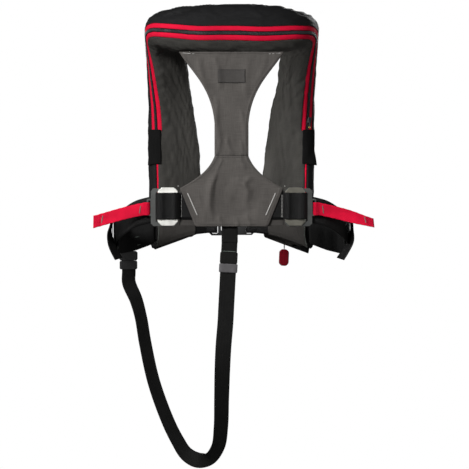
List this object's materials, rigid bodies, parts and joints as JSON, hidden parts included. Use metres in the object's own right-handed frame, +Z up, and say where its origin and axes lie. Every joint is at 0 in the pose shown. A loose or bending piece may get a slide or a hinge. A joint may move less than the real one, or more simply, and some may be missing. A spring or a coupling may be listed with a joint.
{
  "type": "inflatable life jacket",
  "caption": "Horseshoe inflatable life jacket with zipped collar and lobes, back yoke, webbing waist belt with steel adjusters, front buckle, crotch strap and manual inflation toggle.",
  "frame": {"origin": "innermost point of the collar, where it rests on the back of the wearer's neck", "axes": "+X towards the wearer's right, +Y towards the wearer's front, +Z up"},
  "size_m": [0.5314, 0.2946, 0.8867],
  "materials": {
    "cover_cloth": "matt coated cloth",
    "lining_cloth": "woven lining",
    "yoke_cloth": "woven mesh cloth",
    "red_tape": "woven tape",
    "red_webbing": "woven webbing",
    "zip_teeth": "moulded coil",
    "brushed_steel": "brushed",
    "coated_steel": "satin coating",
    "bladder_film": "coated fabric",
    "black_plastic": "moulded",
    "grey_plastic": "moulded",
    "lever_plastic": "moulded",
    "cylinder_steel": "zinc plated",
    "cord_fibre": "braided",
    "toggle_plastic": "moulded",
    "tube_rubber": "satin",
    "cap_plastic": "moulded",
    "whistle_plastic": "moulded",
    "patch_cloth": "woven",
    "black_webbing": "woven webbing",
    "strap_webbing": "woven webbing",
    "pad_cloth": "padded cloth",
    "flap_cloth": "hook-and-loop tape",
    "keeper_elastic": "elastic"
  },
  "bodies": {
    "jacket": {"outer_cover": "cover_cloth", "inner_cover": "lining_cloth", "outer_zip_tape": "red_tape", "inner_zip_tape": "red_tape", "zip_chain": "zip_teeth", "bladder": "bladder_film", "inflator_body": "black_plastic", "oral_tube": "tube_rubber", "whistle": "whistle_plastic", "yoke_upper_panel": "yoke_cloth", "yoke_lower_panel": "yoke_cloth", "yoke_backing_panel": "yoke_cloth", "yoke_patch": "patch_cloth", "back_webbing": "black_webbing", "front_buckle_frame": "black_plastic", "crotch_anchor": "black_webbing", "crotch_strap": "strap_webbing", "crotch_hip_loop": "black_webbing", "crotch_buckle_socket": "black_plastic", "left_edge_piping": "red_tape", "right_edge_piping": "red_tape", "left_side_belt": "black_webbing", "right_side_belt": "black_webbing", "left_hip_pad": "pad_cloth", "right_hip_pad": "pad_cloth", "left_belt_keeper": "keeper_elastic", "right_belt_keeper": "keeper_elastic", "left_belt_tail": "black_webbing", "right_belt_tail": "black_webbing"},
    "left_adjuster": {"left_adjuster_frame": "coated_steel", "left_adjuster_plate": "brushed_steel", "left_webbing_turn": "black_webbing"},
    "right_adjuster": {"right_adjuster_frame": "coated_steel", "right_adjuster_plate": "brushed_steel", "right_webbing_turn": "black_webbing"},
    "left_tab": {"left_pull_tab": "red_webbing"},
    "right_tab": {"right_pull_tab": "red_webbing"},
    "left_flap": {"left_closure_flap": "flap_cloth"},
    "right_flap": {"right_closure_flap": "flap_cloth"},
    "zip_pull": {"zip_slider": "brushed_steel"},
    "toggle": {"pull_toggle": "toggle_plastic", "pull_cord": "cord_fibre"},
    "lever": {"inflator_lever": "lever_plastic"},
    "cylinder": {"gas_cylinder": "cylinder_steel"},
    "tube_cap": {"oral_tube_cap": "cap_plastic"},
    "buckle_hook": {"front_buckle_hook": "black_plastic"},
    "strap_slider": {"crotch_slider": "grey_plastic"},
    "strap_tongue": {"crotch_buckle_tongue": "black_plastic"}
  },
  "joints": [
    {"name": "left_adjuster_tilt", "type": "hinge", "parent": "jacket", "child": "left_adjuster", "pos_m": [-0.0974, -0.0645, -0.3379], "axis": [0, 0, 1], "range_deg": [0, 30]},
    {"name": "right_adjuster_tilt", "type": "hinge", "parent": "jacket", "child": "right_adjuster", "pos_m": [0.0974, -0.0645, -0.3379], "axis": [0, 0, -1], "range_deg": [0, 30]},
    {"name": "left_tab_swing", "type": "hinge", "parent": "left_adjuster", "child": "left_tab", "pos_m": [-0.15765, -0.0645, -0.3379], "axis": [0, 0, 1], "range_deg": [0, 70]},
    {"name": "right_tab_swing", "type": "hinge", "parent": "right_adjuster", "child": "right_tab", "pos_m": [0.15765, -0.0645, -0.3379], "axis": [0, 0, -1], "range_deg": [0, 70]},
    {"name": "left_flap_open", "type": "hinge", "parent": "jacket", "child": "left_flap", "pos_m": [-0.1673, 0.14053, -0.21241], "axis": [0.0082, -0.0029, -1], "range_deg": [0, 110]},
    {"name": "right_flap_open", "type": "hinge", "parent": "jacket", "child": "right_flap", "pos_m": [0.1673, 0.14053, -0.21241], "axis": [0.0082, 0.0029, 1], "range_deg": [0, 110]},
    {"name": "zip_travel", "type": "slide", "parent": "jacket", "child": "zip_pull", "axis": [0.0761, -0.1455, 0.9864], "range_m": [0, 0.04]},
    {"name": "toggle_pull", "type": "slide", "parent": "jacket", "child": "toggle", "axis": [0, 0, -1], "range_m": [0, 0.022]},
    {"name": "lever_turn", "type": "hinge", "parent": "jacket", "child": "lever", "pos_m": [0.11372, 0.19134, -0.362], "axis": [0.8211, -0.5708, 0], "range_deg": [0, 63]},
    {"name": "cylinder_screw", "type": "hinge", "parent": "jacket", "child": "cylinder", "pos_m": [0.12395, 0.17206, -0.3], "axis": [0, 0, 1], "continuous": true},
    {"name": "cap_lift", "type": "slide", "parent": "jacket", "child": "tube_cap", "axis": [0, 0, 1], "range_m": [0, 0.012]},
    {"name": "hook_release", "type": "hinge", "parent": "jacket", "child": "buckle_hook", "pos_m": [0.042, 0.1675, -0.361], "axis": [0, 0, -1], "range_deg": [0, 35]},
    {"name": "slider_travel", "type": "slide", "parent": "jacket", "child": "strap_slider", "axis": [-0.0519, 0, -0.9987], "range_m": [0, 0.09]},
    {"name": "tongue_release", "type": "slide", "parent": "jacket", "child": "strap_tongue", "axis": [0, 0, -1], "range_m": [0, 0.02]}
  ],
  "couplings": [
    {"joint": "toggle_pull", "follows": "lever_turn", "m_per_rad": 0.02}
  ]
}
